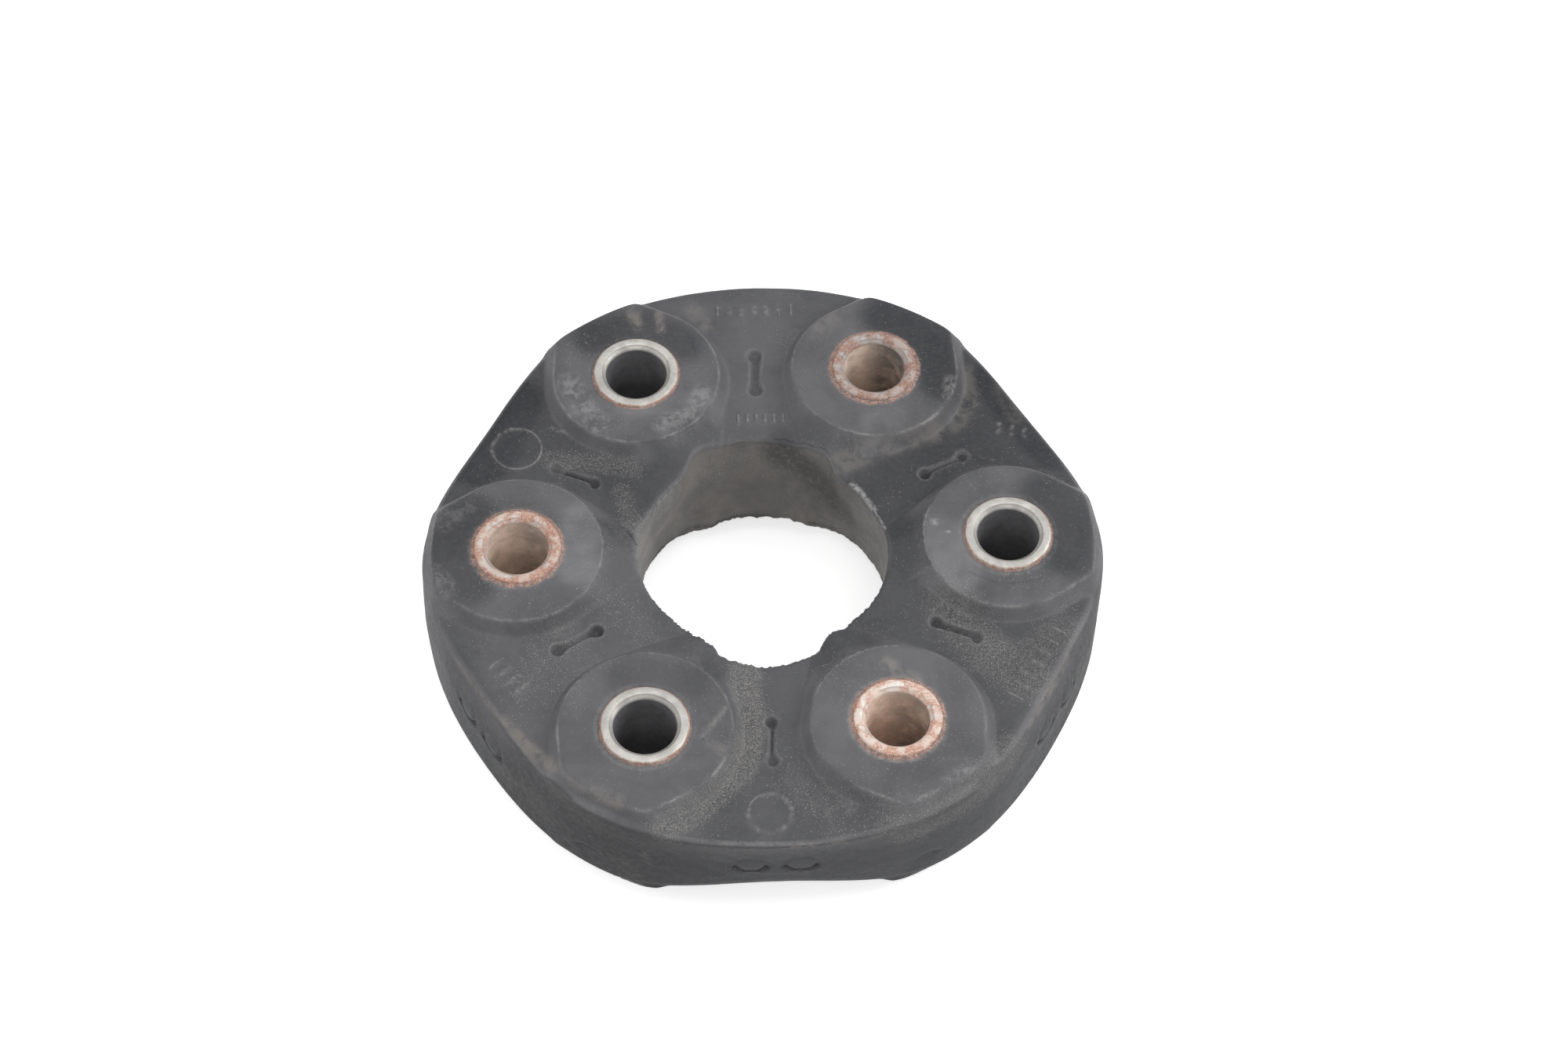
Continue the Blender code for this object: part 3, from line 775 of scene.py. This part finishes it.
def make_sleeve(number, angle, rusty):
    """A turned tube. Its end faces have a soft chamfer inside and a small one outside."""
    turn = full_turn(SLEEVE_POINTS)
    profile = [(r, SLEEVE_LENGTH - d) for r, d in SLEEVE_END] + [(r, d) for r, d in reversed(SLEEVE_END)]
    centre = np.array([*polar(BOLT_R, angle), 0.0])
    rough = waves(40 + number, 1.6, 24)
    coarse = waves(60 + number, 6)
    rows, masks = [], []
    for radius, z in profile:
        points = on_cylinder(radius, turn, np.full_like(turn, z))
        bore = 1.0 if radius < BORE_R + 0.05 and 1.0 < z < SLEEVE_LENGTH - 1.0 else 0.0
        scale = (0.045 if rusty else 0.012) * (1 - bore)
        if min(z, SLEEVE_LENGTH - z) < 0.3:
            bumps = scale * rough(points) + 0.4 * scale * coarse(points)
            points[:, 2] = np.clip(points[:, 2] + bumps - 0.03, 0, SLEEVE_LENGTH)
        rows.append(points + centre)
        outer = smooth_step(radius, 7.9, 8.45)
        # The two edges that carry the thin dark line of painted shade
        edge = 1.0 if radius in (MOUTH_R, SHOULDER_R) else 0.0
        # Painted shade, strongest on the side of the bore at 35 degrees from +X
        bore_shade = BORE_SHADE[number] * smooth_step(np.cos(turn - math.radians(35)), 0.1, 1.0)
        masks.append(np.stack(np.broadcast_arrays(outer, bore, edge, bore_shade), 1))
    verts = np.concatenate(rows)
    faces = []
    for k in range(len(profile)):
        here, below = k * SLEEVE_POINTS, (k + 1) % len(profile) * SLEEVE_POINTS
        for i in range(SLEEVE_POINTS):
            j = (i + 1) % SLEEVE_POINTS
            faces.append([here + i, here + j, below + j, below + i])
    obj = new_piece(f"sleeve_{number}", verts, faces, f"steel_sleeve_{number}", 40)
    for name, values in zip(("rust", "bore", "edge", "bore_shade"), np.concatenate(masks).T):
        set_mask(obj, name, values)
    return obj


# Heights of the pads' faces, and of strokes that give none
PAD_TOP = 30.8
MARK_Z = 27.5


def stroke_cover(points, strokes):
    """How strongly strokes cover each point. A stroke is a line, half its width, its strength and, where it isn't
    MARK_Z, the height of the points that give none."""
    cover = np.zeros(len(points))
    for line, half, strength, *height in strokes:
        line = [p if len(p) == 3 else (*p, *(height or [MARK_Z])) for p in line]
        cover = np.maximum(cover, strength * (1 - smooth_step(line_distance(points, line), 0.4 * half, 1.3 * half)))
    return cover


# Marks of use, as lines in millimetres with a half width and a strength
DUSTY = [
    ([(-4.7, -28), (-4.2, -39.9), (-5.4, -48.3), (-10.1, -53.4), (-15.6, -58.4), (-21.1, -62.4)], 3.8, 0.9),
    ([(6, -52), (12, -60), (22, -62)], 6, 0.35),
    ([(20, -64, 26), (30.4, -58.6), (38, -53.7), (45, -46)], 3.6, 0.6),
    ([(36, -14), (42, -25), (50, -31)], 7, 0.6), ([(50, -27), (58, -20)], 6, 0.52),
    ([(-41.7, 23.4), (-33.1, 22.5), (-25.5, 20.5)], 3, 0.6), ([(-27.5, 15.3), (-25.3, 7.2)], 2.6, 0.55),
    ([(-40, -20), (-46, -28), (-38, -30)], 6, 0.4), ([(-35, -8), (-29, -12), (-25, -17)], 4.5, 0.32),
    ([(34.6, -3), (40.1, -11.9), (47.4, -16.2), (55.1, -15), (62, -8.5)], 0.9, 0.8),
    ([(24, -62, 22), (33, -58, 22), (41, -51.5, 22), (47, -44.5, 23)], 3.6, 0.6),
    ([(-13.2, 23, 21), (-6.4, 24.5, 22), (1, 25, 22)], 4.5, 0.8), ([(8, 24.5), (17, 17.5)], 4, 0.2, 12),
]
TAN = [
    ([(-61.2, -18, 25), (-56.5, -27.8, 25), (-50.9, -36.2, 25.5)], 1, 0.7),
    ([(-50.9, -37, 26.5), (-45.8, -43.8, 27), (-40.6, -49.5, 28.6), (-37, -52.2, 29), (-32.6, -55.5, 29.3),
      (-29, -57.3, 29.5)], 1.5, 0.9),
    ([(57.6, -25.5, 25), (54.2, -32, 25), (50.2, -38.3, 25), (45, -44.8, 25.5)], 1.2, 0.9),
    ([(3, -65.6), (7, -65.6)], 0.8, 0.7, 26), ([(11, -65.5), (13.4, -65.4)], 0.8, 0.7, 26),
    ([(-24.4, 57.2), (-23.4, 53.8)], 1.5, 0.8, PAD_TOP), ([(-19.1, 56.6), (-18.7, 52.4)], 1, 0.8, PAD_TOP),
    ([(13, 51.3), (16.1, 54.2)], 2.4, 0.4, PAD_TOP),
    ([(22.4, -28.9), (27.6, -33)], 1.7, 0.9, PAD_TOP),
    ([(-13.3, -44.2), (-9.2, -48)], 1, 0.6, PAD_TOP), ([(-8.3, -37.5), (-13.3, -44.2)], 0.7, 0.35, PAD_TOP),
    ([(42.6, 42.5), (43.3, 35.3), (39.9, 28.8)], 2, 0.4), ([(50, 38), (52, 31)], 2, 0.3),
    ([(16.5, 20.5), (19.9, 22.4), (27.7, 25.7), (34.6, 27.8)], 3.2, 0.5),
    ([(-12, 60), (-10, 56)], 2.2, 0.4), ([(8.5, 53), (10.5, 47), (10, 40)], 1.5, 0.35),
    ([(-46, -45, 19), (-42, -49, 15)], 2, 0.4), ([(-30, -59.5, 14), (-27, -60.5, 9)], 2.2, 0.4),
]
PALE = [
    ([(-37.6, 40), (-35, 34.5), (-31.7, 29.5)], 2.6, 0.9, PAD_TOP),
    ([(-19, 29), (-13.5, 32), (-10.8, 36.6)], 2.2, 0.9, PAD_TOP),
    ([(38.6, 34.5), (39.2, 38)], 1.3, 0.8, PAD_TOP),
    ([(-57.5, 10), (-62.5, 5.5)], 1.5, 0.4, PAD_TOP), ([(-63.5, 8), (-60.4, 12.4)], 1.5, 0.35, 30.3),
    ([(-61.5, -9), (-64, -5)], 2, 0.6, PAD_TOP),
    ([(-36, -4), (-36, 5)], 4, 0.2, PAD_TOP), ([(11, -59.5), (14, -58.5)], 2, 0.4, 28),
    ([(58, 27), (50, 38)], 0.8, 0.5, 26),
    ([(-25.3, -59.8, 20), (-24.7, -62.5, 16), (-23.8, -64, 11)], 1.2, 0.6),
    # A painted highlight along the outer rim of the pad at 300 degrees
    ([(32.2, -55.7), (37.7, -52.1)], 0.8, 0.8, PAD_TOP),
]
# Where less film lies on the pads, so that they are darker, and where more film lies on them
LESS_FILM = [
    ([(59.5, -5), (61.5, 3), (56.5, 9.5)], 6.5, 0.8, PAD_TOP),
    ([(37.5, 38), (35.5, 48), (27, 54.5)], 6.5, 0.9, PAD_TOP),
    ([(-14.5, 49), (-22, 54), (-32, 51)], 5.5, 0.75, PAD_TOP),
    ([(-57.5, 8), (-61.5, 0), (-57.5, -8)], 6, 0.7, PAD_TOP),
    ([(-27, -29), (-15, -32)], 4.5, 0.35, PAD_TOP), ([(26, -50), (29, -54)], 3, 0.2, PAD_TOP),
    ([(-50, 38), (-56, 24)], 7, 0.8, 27.4), ([(50, 40), (60, 24)], 6, 0.9, 27.4),
]
FILMED = [
    ([(-36, -5), (-36, 6)], 4.5, 0.5, PAD_TOP), ([(35.5, 0), (38, -9)], 4.5, 0.6, PAD_TOP),
    ([(23, 28.5), (28, 29.5)], 3, 0.4, PAD_TOP), ([(-36, 33), (-12, 34)], 3, 0.25, PAD_TOP),
]
# Darker places on the hole's wall, and small dark spots
SHADED = [
    ([(5, 26, 24), (12, 23, 20), (17, 19, 14)], 5, 0.65),
    ([(-0.3, 25.4), (0.3, 25.4)], 0.35, 0.9, 17), ([(-4.8, 25), (-4.3, 25)], 0.25, 0.8, 13),
]
# Crisp pale lines
CHALK = [
    ([(-8.3, -37.5), (-13.3, -44.2)], 0.35, 0.25, PAD_TOP),
    ([(28.1, -8.6), (31.2, -7.9)], 0.3, 0.9, PAD_TOP),
    ([(33.2, 3.9), (33.9, 3.4)], 0.4, 1, PAD_TOP), ([(35.9, 1.4), (36.4, 1)], 0.35, 1, PAD_TOP),
    ([(33.7, -5.9), (34.2, -6.3)], 0.3, 1, PAD_TOP),
    ([(9.8, 26.2), (12.4, 24.5), (15.4, 22.5)], 0.35, 0.5),
    ([(18.2, 15.5), (20.3, 12.7), (22.2, 9.1)], 0.6, 0.75), ([(22.2, 9.1), (23.6, 5.7), (25, 2.7)], 0.3, 0.7),
    ([(24.9, 2), (28.4, 5.9), (33.5, 10.9)], 0.3, 0.35, 28.3),
    ([(-41.8, 31.4), (-35.5, 28.6), (-28, 25.4), (-24, 24.8)], 0.3, 0.35),
    ([(-21.2, -64.6, 27), (-5.1, -65.6, 26.8), (14.5, -65.9, 26.6)], 0.35, 0.4),
]


# Points higher than this belong to the upper face
UPPER_Z = 20
# Radii within which points belong to the hole's wall, and beyond which to the outer wall
HOLE_ZONE = 30
WALL_ZONE = 50
# By angle in degrees: how dark painted shade makes the outer wall, and how much film lies on it
WALL_SHADE = ([20, 195, 222, 245, 262, 320, 335, 350], [0.4, 0, 0.8, 0.8, 0.25, 0.2, 0.85, 0.85])
WALL_FILM = ([20, 90, 150, 180, 200, 222, 250, 290, 305, 330, 350],
             [0.2, 0.3, 0.4, 0.5, 0.3, 0.0, 0.03, 0.08, 0.06, 0.0, 0.0])
# How much film lies in each valley, on the pads and on their skirts, and a factor for all film
VALLEY_FILM = [0.15, 0.58, 0.25, 0.66, 0.43, 0.3]
PAD_FILM = 0.72
SKIRT_FILM = 0.85
FILM = 0.86
# How pale the rubber's edge round each sleeve is, and how far the rust reaches from the rusty and the bright sleeves
SEAT_PALE = np.array([0.45, 0.2, 0.2, 0.4, 0.5, 0.75])
RUST_REACH = (9.2, 8.75)


def add_rubber_masks(obj, verts):
    """Says where the rubber's film, dust, marks of use and rust lie, and where shade and highlights are painted."""
    x, y, z = verts.T
    away, direction = pad_place(x, y)
    radius, angle = np.hypot(x, y), np.arctan2(y, x)
    degrees = np.degrees(angle)
    number = (np.round(angle / STEP) % 6).astype(int)
    facing = np.empty(verts.size, np.float32)
    obj.data.vertex_normals.foreach_get("vector", facing)
    upward = facing.reshape(-1, 3)[:, 2]
    level = smooth_step(upward, 0, 0.5)
    patches = waves(31, 14)(verts) * 0.5 + 0.5
    top = pad_reach(direction, 0, PAD_R)
    upper, on_pad = z > UPPER_Z, away < top

    set_mask(obj, "dust", (0.03 + 0.14 * patches ** 2) * (0.35 + 0.65 * level) + stroke_cover(verts, DUSTY))
    for name, strokes in (("tan", TAN), ("pale", PALE), ("chalk", CHALK)):
        set_mask(obj, name, stroke_cover(verts, strokes))
    set_mask(obj, "brown", smooth_step(-radius, -28.5, -26.8) * (1 - level))
    reach = np.where(number % 2 == 1, RUST_REACH[0] + 0.1 * waves(33, 2.5)(verts), RUST_REACH[1])
    set_mask(obj, "rust", smooth_step(z, 14, 24) * (1 - smooth_step(away - reach, -0.15, 0.25)))

    # Pale edges, worn and dusty, with a painted highlight along the pads' rims and the outer wall's upper edge: of the
    # pads, at their feet, of slots and marks, of the hole, of the outer wall, round the sleeves
    rim = bell(away - top - 0.05, 0.22) * (away < 20) * upper
    foot = bell(away - pad_reach(direction, SKIRT, RIDGE_TIP) - 0.2, 0.4) * upper
    rim = rim * (0.6 + 0.4 * waves(32, 9)(verts)) * (1 - 0.7 * stroke_cover(verts, LESS_FILM)) + 0.25 * foot * patches
    flat = verts[:, :2]
    slots = np.min([np.abs(slot_distance(flat, *slot) - 0.25) for slot in SLOTS], axis=0)
    marks = np.min([*(np.abs(np.linalg.norm(flat - centre, axis=1) - ring) for centre, ring in MARK_RINGS),
                    *(segment_distance(flat, a, b) for a, b in mark_segments())], axis=0)
    moulded = 0.3 * bell(slots, 0.3) + 0.8 * bell(marks, 0.25)
    lip = 0.7 * bell(radius - upper_outline(angle, FINE_SPREAD), 0.6) * rounded_side(angle)
    # A pale line along the outer wall's upper edge, partly a painted highlight
    lip = lip + 0.12 * bell(radius - rim_radius(angle, 1), 0.4) * (0.5 + patches)
    seat = SEAT_PALE[number] * bell(away - 9.4, 0.45) * (0.75 - 0.35 * np.cos(direction + angle - 0.6))
    set_mask(obj, "rim", rim + (moulded + lip + seat) * upper)

    # Dark places, painted as shade: in cracks and slots, on the outer wall, as a shadow line along the hole's ragged
    # lower edge, on the hole's wall and in the grooves round the lenses; and two small dark spots
    cracks = [(line, 0.3, 1.0, 30.0) for line, depth in CUTS if depth > 0]
    pits = np.max([slot_fill(flat, slot, depths) for slot, depths in zip(SLOTS, DEPTHS)], axis=0)
    dark = np.maximum(stroke_cover(verts, cracks), 0.85 * pits * upper)
    lower_edge_shadow = 0.6 * bell(z - MID_Z + FLOOR_H, 0.6) * (radius < HOLE_ZONE)
    side_shade = np.where(radius > WALL_ZONE, np.interp(degrees, *WALL_SHADE, period=360), lower_edge_shadow) * (1 - level)
    dark = np.maximum(dark, side_shade + stroke_cover(verts, SHADED))
    # The grooves round the lenses are painted dark as shade, most of all under each lens
    lens, groove = (shape * (radius > WALL_ZONE) for shape in lens_shape(angle, z - MID_Z))
    set_mask(obj, "dark", np.maximum(dark, groove))

    valley = np.interp(angle, VALLEY_ANGLES, VALLEY_FILM, period=2 * math.pi)
    skirt = (away > top) * (1 - smooth_step(upward, 0.7, 0.99)) * upper
    film = np.where(on_pad, PAD_FILM, np.maximum(valley, SKIRT_FILM * skirt))
    film = film + stroke_cover(verts, FILMED) * on_pad - stroke_cover(verts, LESS_FILM) * PAD_FILM
    # On the walls the film thins towards the bottom as painted shade, and the added film on the lenses is a painted
    # highlight
    wall = np.interp(degrees, *WALL_FILM, period=360) * (0.35 + 0.65 * smooth_step(z, 8, 25)) + 0.28 * lens
    set_mask(obj, "film", FILM * (np.clip(film, 0, 1.2) * level + wall * (1 - level)))


rubber_verts, rubber_faces = make_rubber()
# The visible rubber stays inside the CAD model's box
half_box = np.array(cad_box[1][:2]) / MM - 0.02
rubber_verts[:, :2] = np.clip(rubber_verts[:, :2], -half_box, half_box)
rubber = new_piece("rubber_body", rubber_verts, rubber_faces, "rubber_disc", 50)
rubber.data.materials.append(rubber_material())
add_rubber_masks(rubber, rubber_verts)

# The steel and the bore of each rusty sleeve
RUSTED = {2: ((0.50, 0.47, 0.455), (0.93, 0.76, 0.645)), 4: ((0.70, 0.62, 0.57), (0.93, 0.76, 0.645)),
          6: ((0.86, 0.80, 0.745), (1.0, 0.79, 0.65))}
bright = steel_material("bright_steel", (0.68, 0.66, 0.62), 1.15, 1.4, (0.16, 0.16, 0.168))
for number, angle in enumerate(SLEEVE_ANGLES, 1):
    material = bright
    if number in RUSTED:
        steel, bore = RUSTED[number]
        material = steel_material(f"rusty_steel_{number}", steel, 0.38, 0.55, bore)
    sleeve = make_sleeve(number, angle, number in RUSTED)
    sleeve.data.materials.append(material)


def cord_material():
    s = Shader("cord")
    weave = s.node("ShaderNodeTexWave", inputs={"Vector": s.place, "Scale": 300.0, "Distortion": 1.5})
    s.set(Base_Color=s.mix(weave, (0.30, 0.25, 0.17), (0.20, 0.16, 0.11)), Roughness=0.9)
    s.bump([(weave, 0.5, 0.0003)])
    return s.material


cord = cord_material()
for name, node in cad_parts.items():
    if name.startswith("cord_loop"):
        node.data.materials.clear()
        node.data.materials.append(cord)


# Camera, fitted to the photograph: focal length and offsets in its pixels, distance from the pads' plane, and angles
PHOTO_WIDTH = 2000
FOCAL = 4992.0
DISTANCE = 765.0
TILT = math.radians(55.49)
ROLL = math.radians(1.01)
SHIFT = (-26.4, -22.7)
SPIN = math.radians(3.2)


def make_camera():
    back = Vector((0, -math.cos(TILT), math.sin(TILT)))
    level = Vector((1, 0, 0))
    upright = back.cross(level)
    right = math.cos(ROLL) * level + math.sin(ROLL) * upright
    up = -math.sin(ROLL) * level + math.cos(ROLL) * upright
    spot = back * DISTANCE - (right * SHIFT[0] + up * SHIFT[1]) * DISTANCE / FOCAL
    basis = Matrix((right, up, back)).transposed().to_4x4()
    basis.translation = spot * MM
    data = bpy.data.cameras.new("camera")
    data.sensor_width = 36
    data.lens = data.sensor_width * FOCAL / PHOTO_WIDTH
    data.clip_start = 0.05
    camera = new_object("camera", data)
    camera.matrix_world = Matrix.Translation((0, 0, PAD_TOP * MM)) @ Matrix.Rotation(-SPIN, 4, "Z") @ basis
    bpy.context.scene.camera = camera


# Where the lights point, in metres
LIT_SPOT = Vector((0, 0, 0.015))


def make_light(name, spot, size, energy):
    """A square light. spot and size are in metres, energy in watts."""
    data = bpy.data.lights.new(name, "AREA")
    data.energy = energy
    data.size = size
    light = new_object(name, data)
    light.location = spot
    light.rotation_euler = (LIT_SPOT - Vector(spot)).to_track_quat("-Z", "Y").to_euler()


# How far the floor lies under the part, in metres, so that the two don't touch
FLOOR_DROP = 0.00005
# The floor's own light that the camera sees, and the sky's light on the part. The sky itself is seen white.
FLOOR_GLOW = 0.62
SKY_LIGHT = 0.42


def make_stage():
    """A floor that is seen white apart from the part's shadow, and a white sky."""
    size = 2.0
    data = bpy.data.meshes.new("floor")
    data.from_pydata([(-size, -size, 0), (size, -size, 0), (size, size, 0), (-size, size, 0)], [], [(0, 1, 2, 3)])
    floor = new_object("floor", data)
    floor.location.z = -FLOOR_DROP
    s = Shader("floor")
    s.set(Base_Color=(0.8, 0.8, 0.8), Roughness=0.9, Specular_IOR_Level=0.0, Emission_Color=(1, 1, 1))
    path = s.tree.nodes.new("ShaderNodeLightPath")
    seen = s.math("MAXIMUM", path.outputs["Is Camera Ray"],
                  s.math("MAXIMUM", path.outputs["Is Glossy Ray"], path.outputs["Is Transmission Ray"]))
    s.set(Emission_Strength=s.math("MULTIPLY", seen, FLOOR_GLOW))
    data.materials.append(s.material)
    world = bpy.data.worlds.new("world")
    world.use_nodes = True
    bpy.context.scene.world = world
    tree = world.node_tree
    background = tree.nodes["Background"]
    path = tree.nodes.new("ShaderNodeLightPath")
    pick = tree.nodes.new("ShaderNodeMapRange")
    tree.links.new(path.outputs["Is Camera Ray"], pick.inputs[0])
    pick.inputs[3].default_value = SKY_LIGHT
    pick.inputs[4].default_value = 1.0
    tree.links.new(pick.outputs[0], background.inputs["Strength"])
    background.inputs["Color"].default_value = (1, 1, 1, 1)


make_camera()
make_light("top", (0.05, 0.10, 1.00), 0.7, 2.1)
make_light("left", (-0.72, 0.10, 0.58), 0.6, 1.6)
make_light("right", (0.72, 0.10, 0.58), 0.6, 4.4)
make_light("front", (-0.05, -0.62, 0.75), 0.5, 1.9)
make_stage()
bpy.context.scene.view_settings.view_transform = "Standard"
